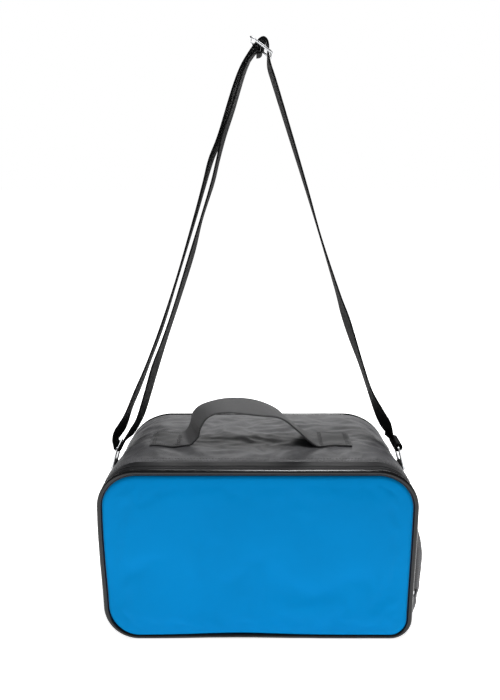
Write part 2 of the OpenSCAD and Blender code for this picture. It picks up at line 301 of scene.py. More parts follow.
def polypropylene_webbing(name, colour, crown, gloss_level):
    """Woven polypropylene webbing: ribs across its width, painted highlights on its yarn crowns with painted
    shade between the yarns, and slightly fuzzy edges.
    """
    material, tree, shader = new_material(name, Specular_IOR_Level=gloss_level)
    place = add_node(tree, "TexCoord")
    # yarns of 0.8 mm, drawn at 1.7 by 2.1 mm so that they show
    weave = basket_weave(tree, place.outputs["UV"], 1.7 * MM, 2.1 * MM)
    fuzz = speckle(tree, place.outputs["Object"], 420.0, 3.0)
    # painted highlight on the yarn crowns and painted shade between the yarns; crown sets how much lighter the
    # crowns are drawn
    cloth = two_tone(tree, weave, shade(colour, 0.55), shade(colour, crown))
    tone = add_node(tree, "Mix", {0: 0.35, 6: cloth, 7: fuzz}, data_type="RGBA", blend_type="OVERLAY")
    tree.links.new(tone.outputs[2], shader.inputs["Base Color"])
    set_gloss(tree, shader, fuzz, 0.55, 0.8)
    set_relief(tree, shader, (fuzz, 0.25, 0.2 * MM), (weave, 0.6, 0.35 * MM))
    return material


def zip_tape_cloth(colour):
    """Knitted nylon zip tape: smooth and slightly shiny, with fine cords along its length."""
    material, tree, shader = new_material("nylon_zip_tape", Specular_IOR_Level=0.15)
    place = add_node(tree, "TexCoord")
    # knitted cords of 0.7 mm, drawn 1.3 mm apart with loops 2.4 mm long so that they show
    knit = basket_weave(tree, place.outputs["UV"], 2.4 * MM, 1.3 * MM)
    drift = speckle(tree, place.outputs["Object"], 30.0, 3.0)
    # painted highlight on the knitted cords and painted shade between them, drawn from the knit's height
    cloth = two_tone(tree, knit, shade(colour, 0.85), shade(colour, 1.12))
    tree.links.new(two_tone(tree, drift, cloth, shade(colour, 1.35)), shader.inputs["Base Color"])
    set_gloss(tree, shader, drift, 0.45, 0.65)
    set_relief(tree, shader, (knit, 0.3, 0.12 * MM))
    return material


def zip_coil_nylon():
    """Nylon monofilament wound into zip teeth: black, hard and glossy."""
    material, tree, shader = new_material("nylon_monofilament", Roughness=0.3)
    place = add_node(tree, "TexCoord")
    speck = speckle(tree, place.outputs["Object"], 900.0, 2.0)
    tone = two_tone(tree, speck, linear("#0B0B0C"), linear("#262628"))
    tree.links.new(tone, shader.inputs["Base Color"])
    return material


def plated_steel(colour):
    """Nickel-plated steel wire: bright metal with fine handling scratches."""
    material, tree, shader = new_material("nickel_plated_steel", Metallic=1.0)
    place = add_node(tree, "TexCoord")
    stretch = add_node(tree, "Mapping", {"Vector": place.outputs["Object"], "Scale": (1.0, 1.0, 0.2)})
    scratch = speckle(tree, stretch.outputs[0], 900.0, 4.0)
    tone = two_tone(tree, scratch, shade(colour, 0.72), shade(colour, 1.1))
    tree.links.new(tone, shader.inputs["Base Color"])
    set_gloss(tree, shader, scratch, 0.14, 0.36)
    set_relief(tree, shader, (scratch, 0.12, 0.1 * MM))
    return material


def peva_film(colour):
    """Heat-sealed PEVA lining film: pale, shiny and crinkled."""
    material, tree, shader = new_material("peva_film", Coat_Weight=0.4, Coat_Roughness=0.15)
    place = add_node(tree, "TexCoord")
    crinkle = speckle(tree, place.outputs["Object"], 75.0, 4.0, 1.2)
    # painted shade in the crinkles' hollows and painted highlight on their crests, following the crinkle
    # relief
    tone = two_tone(tree, crinkle, shade(colour, 0.8), shade(colour, 1.12))
    tree.links.new(tone, shader.inputs["Base Color"])
    set_gloss(tree, shader, crinkle, 0.22, 0.4)
    set_relief(tree, shader, (crinkle, 0.55, 1.5 * MM))
    return material


def polyethylene_foam(colour):
    """Closed-cell polyethylene foam: matte white, with cells about 1 mm across."""
    material, tree, shader = new_material("polyethylene_foam", Roughness=0.85, Subsurface_Weight=0.1)
    place = add_node(tree, "TexCoord")
    cell = add_node(tree, "TexVoronoi", {"Vector": place.outputs["Object"], "Scale": 900.0})
    tone = two_tone(tree, cell.outputs["Distance"], shade(colour, 1.05), shade(colour, 0.8))
    tree.links.new(tone, shader.inputs["Base Color"])
    set_relief(tree, shader, (cell.outputs["Distance"], 0.4, 0.3 * MM))
    return material


def polyester_thread(code):
    """Twisted polyester sewing thread: a fine slanting ply and a dull shine."""
    material, tree, shader = new_material("polyester_thread", Roughness=0.5, Sheen_Weight=0.3)
    place = add_node(tree, "TexCoord")
    ply = add_node(
        tree, "TexWave", {"Vector": place.outputs["Object"], "Scale": 500.0}, bands_direction="DIAGONAL"
    )
    # painted highlight on the twisted plies and painted shade in the grooves between them
    tone = two_tone(tree, ply.outputs["Fac"], shade(linear(code), 0.6), shade(linear(code), 1.3))
    tree.links.new(tone, shader.inputs["Base Color"])
    return material


def stage_paper():
    """Matte studio paper, near white, that gives off a little light and has a barely visible grain."""
    material, tree, shader = new_material(
        "studio_paper", Roughness=0.9, Specular_IOR_Level=0.1, Emission_Strength=0.9
    )
    place = add_node(tree, "TexCoord")
    grain = speckle(tree, place.outputs["Object"], 60.0, 3.0)
    tone = two_tone(tree, grain, linear("#F8F8F8"), linear("#FCFCFC"))
    tree.links.new(tone, shader.inputs["Base Color"])
    tree.links.new(tone, shader.inputs["Emission Color"])
    return material


# ---------------------------------------------------------------- shapes

def outline_legs():
    """The straight and curved legs of the sewn outline, anticlockwise seen from the front."""
    low_r, top_r, top_l, low_l = RADII
    quarter = math.pi / 2
    return [
        (0.0, 0.0, 0.0, 0.0, HALF_W - low_r),
        (HALF_W - low_r, low_r, -quarter, low_r, low_r * quarter),
        (HALF_W, low_r, quarter, 0.0, HEIGHT - low_r - top_r),
        (HALF_W - top_r, HEIGHT - top_r, 0.0, top_r, top_r * quarter),
        (HALF_W - top_r, HEIGHT, math.pi, 0.0, 2 * HALF_W - top_r - top_l),
        (top_l - HALF_W, HEIGHT - top_l, quarter, top_l, top_l * quarter),
        (-HALF_W, HEIGHT - top_l, -quarter, 0.0, HEIGHT - top_l - low_l),
        (low_l - HALF_W, low_l, math.pi, low_l, low_l * quarter),
        (low_l - HALF_W, 0.0, 0.0, 0.0, HALF_W - low_l),
    ]


LEGS = outline_legs()
RIM_LENGTH = sum(leg[4] for leg in LEGS)


def rim(s, inset=0.0):
    """Place and outward direction on the outline, s from 0 to 1 from the bottom's middle, at y = 0."""
    run = (s % 1.0) * RIM_LENGTH
    for x, z, angle, radius, length in LEGS:
        if run <= length:
            break
        run -= length
    if radius:
        turn = angle + run / radius
        out = Vector((math.cos(turn), 0, math.sin(turn)))
        return Vector((x, 0, z)) + out * (radius - inset), out
    out = Vector((math.sin(angle), 0, -math.cos(angle)))
    ahead = Vector((math.cos(angle), 0, math.sin(angle)))
    return Vector((x, 0, z)) + ahead * run - out * inset, out


def rim_at_height(z, right):
    """Where the outline passes height z on the right or left side."""
    low, high = (0.0, 0.5) if right else (1.0, 0.5)
    for _ in range(40):
        middle = (low + high) / 2
        if rim(middle)[0].z < z:
            low = middle
        else:
            high = middle
    return (low + high) / 2


MOUTH_RIGHT = rim_at_height(ZIP_END_Z, True)
MOUTH_LEFT = rim_at_height(ZIP_END_Z, False)


def depth_inside(x, z, inset):
    """Distance in from the outline drawn smaller by inset."""
    radius = RADII[(0 if z < HEIGHT / 2 else 1) if x > 0 else (3 if z < HEIGHT / 2 else 2)] - inset
    over_x = abs(x) - (HALF_W - inset - radius)
    over_z = abs(z - HEIGHT / 2) - (HEIGHT / 2 - inset - radius)
    corner = math.hypot(max(over_x, 0.0), max(over_z, 0.0))
    return radius - corner - min(max(over_x, over_z), 0.0)


def row_limits(z, inset):
    """The lowest and highest x of the inset outline at height z."""
    limits = []
    for side, low, top in ((-1, RADII[3], RADII[2]), (1, RADII[0], RADII[1])):
        if z < low:
            centre, radius, drop = HALF_W - low, low - inset, low - z
        elif z > HEIGHT - top:
            centre, radius, drop = HALF_W - top, top - inset, z - HEIGHT + top
        else:
            centre, radius, drop = HALF_W - inset, 0.0, 0.0
        limits.append(side * (centre + math.sqrt(max(radius * radius - drop * drop, 0.0))))
    return limits


def bump_at(value, centre, width):
    """A smooth hump of height 1 round centre."""
    return math.exp(-(((value - centre) / width) ** 2))


def ramp(value, start, end):
    """Smooth step from 0 at start to 1 at end."""
    t = min(max((value - start) / (end - start), 0.0), 1.0)
    return t * t * (3 - 2 * t)


def side_bulge(out, y, z, right, left):
    """How far the soft sides stand out behind the zip: most low down, and less towards the seams."""
    start = -SEAM_Y + (ZIP_Y + 0.002 + SEAM_Y) * ramp(z, ZIP_END_Z - 0.012, ZIP_END_Z)
    swell = ramp(y, start, start + 0.020) * (1 - ramp(y, -0.030, SEAM_Y))
    swell *= ramp(z, -0.004, 0.042)
    swell *= 1 - ramp(z, 0.070, 0.150)
    return swell * (max(out.x, 0.0) * right + max(-out.x, 0.0) * left)


def soften(point):
    """Where a sewn point lies on the slack bag: rounder at the rear corners and fuller towards the front."""
    x, y, z = point
    over_x, over_z = abs(x) - (HALF_W - REAR_CORNER), z - (HEIGHT - REAR_CORNER)
    if over_x > 0 and over_z > 0:
        away = math.hypot(over_x, over_z)
        target = REAR_CORNER - depth_inside(x, z, 0.0)
        pull = ramp(y, -0.080, 0.050) * max(away - target, 0.0) / away
        x -= math.copysign(over_x * pull, x)
        z -= over_z * pull
    front = 1 - ramp(y, -PANEL_Y, 0.02)
    x -= 3.4 * MM * front * ramp(-point.x, 0.06, HALF_W) * bump_at(z, 0.115, 0.080)
    x += 1.4 * MM * front * ramp(point.x, 0.06, HALF_W) * bump_at(z, 0.090, 0.080)
    y -= 5.5 * MM * (1 - ramp(point.y, -PANEL_Y, -0.03)) * bump_at(z, 0.0, 0.042)
    return Vector((x, y, z))


def curve_value(p, q, r, w, t):
    """The value t of the way from q to r, on the smooth curve through p, q, r and w."""
    bend = 2 * p - 5 * q + 4 * r - w
    twist = 3 * q - p - 3 * r + w
    return 0.5 * (2 * q + (r - p) * t + bend * t * t + twist * t ** 3)


def smooth_path(points, steps):
    """A smooth curve through the points, which are tuples of any length."""
    out = []
    count = len(points)
    for i in range(count - 1):
        before, a, b, after = points[max(i - 1, 0)], points[i], points[i + 1], points[min(i + 2, count - 1)]
        for j in range(steps):
            out.append(tuple(curve_value(*four, j / steps) for four in zip(before, a, b, after)))
    out.append(tuple(points[-1]))
    return out


def cloth_grid(columns, rows, place, flat, closed=False):
    """A grid whose points go to place(u, v), with flat(u, v) metres of cloth as its UV map."""
    bm = bmesh.new()
    bmesh.ops.create_grid(bm, x_segments=columns, y_segments=rows, size=0.5)
    layer = bm.loops.layers.uv.new("cloth")
    for face in bm.faces:
        for loop in face.loops:
            loop[layer].uv = flat(loop.vert.co.x + 0.5, loop.vert.co.y + 0.5)
    for vert in bm.verts:
        vert.co = place(vert.co.x + 0.5, vert.co.y + 0.5)
    if closed:
        bmesh.ops.remove_doubles(bm, verts=bm.verts, dist=1e-6)
    return bm


def add_piece(name, bm, material, slot, thickness=0.0, offset=-1.0, edge=0.0):
    """Makes an object of a bmesh, with a wall thickness and rounded edges if they are given."""
    mesh = bpy.data.meshes.new(name)
    bm.to_mesh(mesh)
    bm.free()
    mesh.shade_smooth()
    mesh.materials.append(material)
    piece = bpy.data.objects.new(name, mesh)
    bpy.context.scene.collection.objects.link(piece)
    if thickness:
        wall = piece.modifiers.new("wall", "SOLIDIFY")
        wall.thickness = thickness
        wall.offset = offset
    if edge:
        rounding = piece.modifiers.new("edge", "BEVEL")
        rounding.width = edge
        rounding.segments = 2
        rounding.limit_method = "ANGLE"
        rounding.angle_limit = math.radians(50)
    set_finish(piece, slot)
    return piece


def tube(name, path, radius, sides, material, slot, closed=False):
    """A round cord or wire along a path of points, with closed ends."""
    points = [Vector(p) for p in path]
    count = len(points)
    rings = count if closed else count - 1
    normal = None
    frames = []
    for i in range(count):
        if closed:
            ahead = (points[(i + 1) % count] - points[i - 1]).normalized()
        else:
            ahead = (points[min(i + 1, count - 1)] - points[max(i - 1, 0)]).normalized()
        if normal is None:
            normal = ahead.orthogonal().normalized()
        normal = (normal - ahead * normal.dot(ahead)).normalized()
        frames.append((points[i], normal, ahead.cross(normal)))

    def place(u, v):
        centre, out, side = frames[round(u * rings) % count]
        turn = math.tau * v
        return centre + (out * math.cos(turn) + side * math.sin(turn)) * radius

    lengths = [0.0]
    for i in range(rings):
        lengths.append(lengths[-1] + (points[(i + 1) % count] - points[i]).length)

    def flat(u, v):
        return lengths[round(u * rings)], v * math.tau * radius

    bm = cloth_grid(rings, sides, place, flat, closed=True)
    if not closed:
        bmesh.ops.holes_fill(bm, edges=[e for e in bm.edges if e.is_boundary], sides=0)
    bmesh.ops.recalc_face_normals(bm, faces=bm.faces)
    return add_piece(name, bm, material, slot)


def ribbon(name, path, width, thickness, material, slot, round_edge=0.35 * MM):
    """Flat webbing along a path of (x, z, twist in degrees), centred on the strap's plane."""
    count = len(path) - 1
    sections = []
    run = 0.0
    for i, (x, z, twist) in enumerate(path):
        before, after = path[max(i - 1, 0)], path[min(i + 1, count)]
        ahead = Vector((after[0] - before[0], 0, after[1] - before[1])).normalized()
        across = Matrix.Rotation(math.radians(twist), 3, ahead) @ Vector((0, 1, 0))
        if i:
            run += math.hypot(x - path[i - 1][0], z - path[i - 1][1])
        sections.append((Vector((x, STRAP_Y, z)), across, run))

    def place(u, v):
        centre, across, _ = sections[round(v * count)]
        return centre + across * width * (u - 0.5)

    def flat(u, v):
        return width * u, sections[round(v * count)][2]

    bm = cloth_grid(6, count, place, flat)
    return add_piece(name, bm, material, slot, thickness, 0.0, round_edge)


def stitches(name, seams, step, material, slot, radius):
    """A row of short thread capsules along each seam, a list of points."""
    length = step * 0.62
    bm = bmesh.new()
    for seam in seams:
        points = [Vector(p) for p in seam]
        left = 0.0
        for start, end in zip(points, points[1:]):
            leg = end - start
            if leg.length < 1e-7:
                continue
            turn = Vector((1, 0, 0)).rotation_difference(leg.normalized()).to_matrix().to_4x4()
            at = step / 2 - left
            while at < leg.length:
                matrix = Matrix.Translation(start + leg.normalized() * at) @ turn
                matrix = matrix @ Matrix.Diagonal((length / 2, radius, radius, 1))
                bmesh.ops.create_uvsphere(bm, u_segments=6, v_segments=4, radius=1, matrix=matrix)
                at += step
            left = leg.length - (at - step / 2)
    return add_piece(name, bm, material, slot)


def settle_cloth(piece, hold, pressure, spare, reach, sink=0.3 * MM):
    """Lets the fabric settle between its seams by cloth simulation, and keeps the result in its mesh.

    A point moves no further than reach, nor further in than sink, which keeps it off the foam.
    """
    held = piece.vertex_groups.new(name="seams")
    for vert in piece.data.vertices:
        held.add([vert.index], hold(vert.co), "REPLACE")
    solid = [(m, m.show_viewport) for m in piece.modifiers]
    for modifier, _ in solid:
        modifier.show_viewport = False
    cloth = piece.modifiers.new("settle", "CLOTH")
    cloth.settings.vertex_group_mass = "seams"
    cloth.settings.pin_stiffness = 5.0
    cloth.settings.use_pressure = True
    cloth.settings.uniform_pressure_force = pressure
    cloth.settings.effector_weights.gravity = 0.0
    cloth.settings.shrink_min = -spare
    cloth.settings.quality = 6
    cloth.collision_settings.use_collision = False
    last_frame = 20
    cloth.point_cache.frame_start = 1
    cloth.point_cache.frame_end = last_frame
    for number in range(1, last_frame + 1):
        bpy.context.scene.frame_set(number)
    settled = piece.evaluated_get(bpy.context.evaluated_depsgraph_get())
    moved = [vert.co.copy() for vert in settled.data.vertices]
    piece.modifiers.remove(cloth)
    for modifier, shown in solid:
        modifier.show_viewport = shown
    piece.vertex_groups.clear()
    for vert, co in zip(piece.data.vertices, moved):
        step = co - vert.co
        step += vert.normal * max(-sink - step.dot(vert.normal), 0.0)
        if step.length > reach:
            step *= reach / step.length
        vert.co += step
        vert.co.z = max(vert.co.z, 0.0)
    bpy.context.scene.frame_set(1)


def shell_tree():
    """A search tree of the finished woven shell, for pieces that are sewn on to it."""
    piece = bpy.data.objects["gusset"]
    bm = bmesh.new()
    bm.from_mesh(piece.data)
    tree = BVHTree.FromBMesh(bm)
    bm.free()
    return tree


def panel_bm(inset, face, back, columns=96, rows=64):
    """A rounded-rectangle cloth whose y at (x, z) is face(x, z), facing back (+Y) or front (-Y)."""
    def place(u, v):
        z = inset + (HEIGHT - 2 * inset) * (1 - math.cos(math.pi * v)) / 2
        low, high = row_limits(z, inset)
        across = (1 - math.cos(math.pi * u)) / 2
        x = high + (low - high) * across if back else low + (high - low) * across
        return Vector((x, face(x, z), z))

    def flat(u, v):
        point = place(u, v)
        return point.x, point.z

    bm = cloth_grid(columns, rows, place, flat)
    bmesh.ops.dissolve_degenerate(bm, edges=bm.edges, dist=1e-6)
    return bm


def ring_band(s_from, s_to, columns, rows, place_at, closed=False):
    """A strip along the outline. place_at(s, v) gives each point, and v runs from the back to the front."""
    def place(u, v):
        return place_at(s_from + (s_to - s_from) * u, v)

    width = (place(0.5, 0.0) - place(0.5, 1.0)).length

    def flat(u, v):
        return (s_from + (s_to - s_from) * u) * RIM_LENGTH, v * width

    return cloth_grid(columns, rows, place, flat, closed)


def bend_at_fold(piece):
    """Bakes a front piece's placement into its mesh; it does not bend the piece where the door folds down."""
    middle = Vector(FOLD)
    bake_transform(piece)


def sag(x, z):
    """How far the lower front edge rises off the floor."""
    return 0.0032 * bump_at(x, -0.02, 0.060) * math.exp(-z / 0.020)


class CoolerBagOperator:
    """What the operators share."""

    bl_options = {"REGISTER", "UNDO"}

    @property
    def sizes(self):
        return bpy.context.scene.cooler_bag_sizes

    @property
    def colours(self):
        return bpy.context.scene.cooler_bag_colours

    @staticmethod
    def thread():
        return bpy.data.materials.get("polyester_thread") or polyester_thread("#1B1B1D")


class COOLERBAG_OT_gusset(CoolerBagOperator, bpy.types.Operator):
    """Sew the woven top, sides and bottom, with the hem behind the zip"""

    bl_idname = "coolerbag.gusset"
    bl_label = "Gusset"

    def execute(self, context):
        columns_low, columns_mouth = 84, 250
        columns = 2 * columns_low + columns_mouth
        rows_back, rows_front = 54, 8
        rows = rows_back + rows_front
        right, left = self.sizes.bulge_right, self.sizes.bulge_left

        def along(u):
            step = u * columns
            if step <= columns_low:
                return MOUTH_RIGHT * step / columns_low
            if step <= columns_low + columns_mouth:
                return MOUTH_RIGHT + (MOUTH_LEFT - MOUTH_RIGHT) * (step - columns_low) / columns_mouth
            return MOUTH_LEFT + (1 - MOUTH_LEFT) * (step - columns_low - columns_mouth) / columns_low

        def depth(v):
            step = v * rows
            if step <= rows_back:
                return SEAM_Y + (HEM_Y - SEAM_Y) * step / rows_back
            return HEM_Y + (-SEAM_Y - HEM_Y) * (step - rows_back) / rows_front

        def bulge(point, out, y):
            hem = -SEAM_Y if point.z < ZIP_END_Z else HEM_Y
            t = (2 * y - SEAM_Y - hem) / (SEAM_Y - hem)
            across = max(1 - t * t, 0.0) ** 0.8
            spot = Vector((point.x * 22, y * 52, point.z * 24))
            fold = noise.fractal(spot, 1.0, 2.0, 3) * 1.5 * MM
            crease = (0.4 - abs(noise.noise(spot * 1.7 + Vector((7, 3, 1))))) * 2.2 * MM
            flat_floor = ramp(out.z, -0.98, -0.6)
            pucker = -3.0 * MM * bump_at(point.x, 0.013, 0.005) * bump_at(y, -0.055, 0.006) * max(out.z, 0.0)
            seam = -1.1 * MM * (math.exp((y - SEAM_Y) / (2.0 * MM)) + math.exp((hem - y) / (3.5 * MM)) * 0.6)
            soft = across * (fold + crease) * flat_floor + pucker
            side = side_bulge(out, y, point.z, right, left)
            return side + max(soft, -1.4 * MM) + seam * flat_floor

        def place(u, v):
            s, y = along(u), depth(v)
            point, out = rim(s)
            at = point + out * bulge(point, out, y)
            at.y = y
            at = soften(at)
            at.z = max(at.z, 0.0)
            return at

        def flat(u, v):
            return along(u) * RIM_LENGTH, depth(v)

        bm = cloth_grid(columns, rows, place, flat, closed=True)
        doomed = [
            face for face in bm.faces
            if face.calc_center_median().y < HEM_Y and face.calc_center_median().z > ZIP_END_Z - 0.6 * MM
            and MOUTH_RIGHT * RIM_LENGTH < sum(loop[bm.loops.layers.uv[0]].uv.x for loop in face.loops) / 4
            < MOUTH_LEFT * RIM_LENGTH
        ]
        bmesh.ops.delete(bm, geom=doomed, context="FACES")
        woven = oxford_polyester(self.colours.shell)
        piece = add_piece("gusset", bm, woven, "shell_fabric", self.sizes.fabric)

        def hold(co):
            mouth = HEM_Y if co.z > ZIP_END_Z - 1.0 * MM else -SEAM_Y
            from_seam = min(SEAM_Y - co.y, co.y - mouth)
            if co.z < 1.0 * MM:
                return 1.0
            return 1 - 0.97 * ramp(from_seam, 1.0 * MM, 8.0 * MM) * ramp(co.z, 1.0 * MM, 12.0 * MM)

        settle_cloth(piece, hold, pressure=0.6, spare=0.007, reach=2.4 * MM)
        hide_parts("gusset_top", "gusset_left", "gusset_right", "gusset_bottom")
        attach(piece, "bag")
        tree = shell_tree()
        seams = []
        for from_hem in (2.6 * MM, 6.2 * MM):
            seam = []
            count = 260
            for i in range(count + 1):
                point, out = rim(MOUTH_RIGHT + (MOUTH_LEFT - MOUTH_RIGHT) * i / count)
                point.y = HEM_Y + from_hem
                point = soften(point)
                hit = tree.ray_cast(point + out * 0.03, -out, 0.05)[0]
                seam.append((hit or point) + out * 0.1 * MM)
            seams.append(seam)
        hem = stitches("hem_stitches", seams, self.sizes.stitch, self.thread(), "shell_fabric", 0.3 * MM)
        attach(hem, "bag")
        return {"FINISHED"}


class COOLERBAG_OT_panels(CoolerBagOperator, bpy.types.Operator):
    """Sew the front and back panels, and the front piping's black flange, which also stands as painted seam
    shade where it shows between the piping and the front panel
    """

    bl_idname = "coolerbag.panels"
    bl_label = "Front and back panels"

    def execute(self, context):
        dome = self.sizes.dome

        def front(x, z):
            edge = depth_inside(x, z, FRONT_INSET)
            swell = dome * (1 - math.exp(-max(edge, 0.0) / 0.028))
            ditch = 2.2 * MM * math.exp(-max(edge, 0.0) / (1.7 * MM))
            wave = noise.noise(Vector((x * 16, 3.0, z * 20))) * 0.7 * MM * ramp(edge, 0.0, 0.02)
            return -(PANEL_Y + swell - ditch + wave)

        bm = panel_bm(FRONT_INSET, front, back=False)
        for vert in bm.verts:
            # the front panel's top and bottom edges are drawn back from the piping so that the black flange
            # shows there as painted seam shade
            vert.co.z -= 1.0 * MM * math.exp((vert.co.z - HEIGHT + FRONT_INSET) / 0.010)
            drop = 2.4 * MM * math.exp((FRONT_INSET - vert.co.z) / 0.008)
            vert.co.z += sag(vert.co.x, vert.co.z - FRONT_INSET) - drop
            vert.co = soften(vert.co)
        satin = satin_polyester(self.colours.front)
        piece = add_piece("front_cloth", bm, satin, "front_fabric", self.sizes.fabric * 0.8)

        def hold(co):
            return 1 - 0.96 * ramp(depth_inside(co.x, co.z, FRONT_INSET), 1.5 * MM, 14.0 * MM)

        settle_cloth(piece, hold, pressure=0.25, spare=0.004, reach=1.2 * MM)
        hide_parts("front_panel", "front_panel_lower")
        bend_at_fold(piece)

        def back(x, z):
            edge = depth_inside(x, z, BACK_INSET)
            swell = 2.0 * MM * (1 - math.exp(-max(edge, 0.0) / 0.03))
            ditch = 1.0 * MM * math.exp(-max(edge, 0.0) / (1.3 * MM))
            spot = Vector((x * 20, 9.0, z * 24))
            wave = noise.fractal(spot, 1.0, 2.0, 2) * 0.9 * MM * ramp(edge, 0.0, 0.02)
            return PANEL_Y + swell - ditch + wave

        woven = bpy.data.materials["oxford_polyester"]
        bm = panel_bm(BACK_INSET, back, back=True)
        for vert in bm.verts:
            vert.co = soften(vert.co)
        rear = add_piece("back_cloth", bm, woven, "shell_fabric", self.sizes.fabric)
        settle_cloth(rear, hold, pressure=0.25, spare=0.006, reach=1.5 * MM)
        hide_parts("back_panel")
        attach(rear, "bag")

        piping = extruded_pvc(self.colours.piping)

        # the piping's lip, sewn into the seam, drawn in black where it shows between the piping and the front
        # panel as painted seam shade
        def flange_and_seam_shade_at(s, v):
            point, _ = rim(s, (3.0 + 6.4 * v) * MM)
            point.y = -(PANEL_Y - 2.6 * MM)
            return soften(point)

        bm = ring_band(0.0, 1.0, 400, 4, flange_and_seam_shade_at, closed=True)
        flange_and_seam_shade = add_piece("front_flange_and_seam_shade", bm, piping, "piping", 0.4 * MM)
        bend_at_fold(flange_and_seam_shade)
        return {"FINISHED"}


class COOLERBAG_OT_piping(CoolerBagOperator, bpy.types.Operator):
    """Run the piping cord round the front and back edges"""

    bl_idname = "coolerbag.piping"
    bl_label = "Piping"

    def execute(self, context):
        radius = self.sizes.piping
        piping = bpy.data.materials["extruded_pvc"]

        def cord(y, phase):
            path = []
            count = 420
            for i in range(count):
                point, out = rim(i / count, radius)
                ripple = noise.noise(Vector((point.x * 28, phase, point.z * 28))) * 0.35 * MM
                point += out * min(ripple, 0.0)
                point.y = y
                path.append(soften(point))
            return path

        front = cord(-PIPING_Y, 1.0)
        for point in front:
            point.z += sag(point.x, point.z) * 0.4
        piece = tube("front_piping", front, radius, 16, piping, "piping", closed=True)
        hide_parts("piping_front", "piping_front_lower")
        bend_at_fold(piece)
        rear = tube("back_piping", cord(PIPING_Y, 5.0), radius, 16, piping, "piping", closed=True)
        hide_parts("piping_back")
        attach(rear, "bag")
        return {"FINISHED"}


class COOLERBAG_OT_zip(CoolerBagOperator, bpy.types.Operator):
    """Make the zip's tapes and wound coils"""

    bl_idname = "coolerbag.zip"
    bl_label = "Zip"

    def execute(self, context):
        tape = zip_tape_cloth(self.colours.zip_tape)
        nylon = zip_coil_nylon()
        slit = 0.45 * MM

        def tape_strip(name, y_back, y_front, dip_back, dip_front):
            def place_at(s, v):
                y = y_back + (y_front - y_back) * v
                dip = dip_back * math.exp((y - y_back) / (1.4 * MM))
                dip += dip_front * math.exp((y_front - y) / (1.4 * MM))
                point, out = rim(s, 0.15 * MM + dip)
                wave = noise.noise(Vector((point.x * 30, y * 40, point.z * 30))) * 0.5 * MM
                side = side_bulge(out, y, point.z, self.sizes.bulge_right, self.sizes.bulge_left)
                point += out * (wave * math.sin(math.pi * v) + side)
                point.y = y
                return soften(point)

            bm = ring_band(MOUTH_RIGHT, MOUTH_LEFT, 260, 8, place_at)
            return add_piece(name, bm, tape, "zip_tape", 0.5 * MM)

        outer = tape_strip("zip_tape_outer", ZIP_Y - slit, -SEAM_Y - 0.8 * MM, 0.0, 2.6 * MM)
        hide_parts("zip_tape_door", "zip_tape_ends")
        bend_at_fold(outer)
        inner = tape_strip("zip_tape_inner", HEM_Y + 1.5 * MM, ZIP_Y + slit, 1.0 * MM, 0.0)
        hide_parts("zip_tape_body")
        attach(inner, "bag")

        def coil(name, side):
            turns = int((MOUTH_LEFT - MOUTH_RIGHT) * RIM_LENGTH / self.sizes.tooth)
            path = []
            for i in range(turns * 8 + 1):
                wound = i / 8 + (0.5 if side > 0 else 0.0)
                s = MOUTH_RIGHT + (MOUTH_LEFT - MOUTH_RIGHT) * wound / (turns + 0.5)
                turn = math.tau * i / 8
                point, _ = rim(s, 1.5 * MM - 0.55 * MM * math.sin(turn))
                point.y = ZIP_Y + side * (1.0 + 0.95 * math.cos(turn)) * MM
                path.append(soften(point))
            return tube(name, path, 0.26 * MM, 6, nylon, "zip_coil")

        outer_coil = coil("zip_coil_outer", -1)
        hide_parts("zip_coil_door", "zip_coil_ends")
        bend_at_fold(outer_coil)
        inner_coil = coil("zip_coil_inner", 1)
        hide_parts("zip_coil_body")
        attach(inner_coil, "bag")
        return {"FINISHED"}


